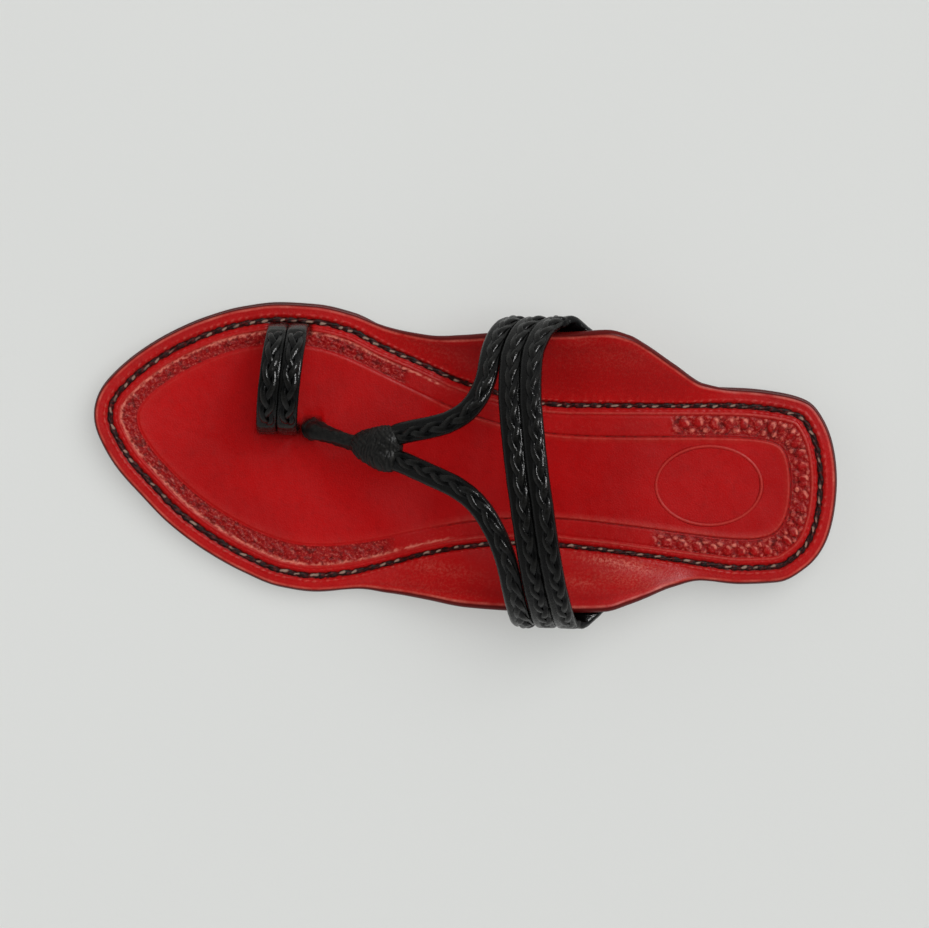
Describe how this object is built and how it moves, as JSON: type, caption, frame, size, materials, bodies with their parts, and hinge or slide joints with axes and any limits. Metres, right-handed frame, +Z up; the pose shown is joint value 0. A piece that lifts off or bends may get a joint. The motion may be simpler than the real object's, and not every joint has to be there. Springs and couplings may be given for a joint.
{
  "type": "kolhapuri sandal",
  "caption": "Flat leather sandal with side ears, a braided instep band, a forked front strap with a wrapped knot, and a big-toe loop.",
  "frame": {"origin": "middle of the sandal's box in plan, on the floor that it stands on", "axes": "+X from the toe to the heel, +Y towards the big toe's side (medial), +Z up"},
  "size_m": [0.2578, 0.112, 0.0605],
  "materials": {
    "red_leather": "dyed red, tooled and polished",
    "sole_leather": "vegetable tanned, burnished edge",
    "black_leather": "dyed black, braided, semi-gloss"
  },
  "bodies": {
    "root": {"outsole": "sole_leather", "heel": "sole_leather", "insole": "red_leather", "instep_band": "black_leather", "front_strap_medial": "black_leather", "front_strap_lateral": "black_leather", "toe_post": "black_leather", "knot": "black_leather", "toe_loop": "black_leather"}
  },
  "joints": []
}
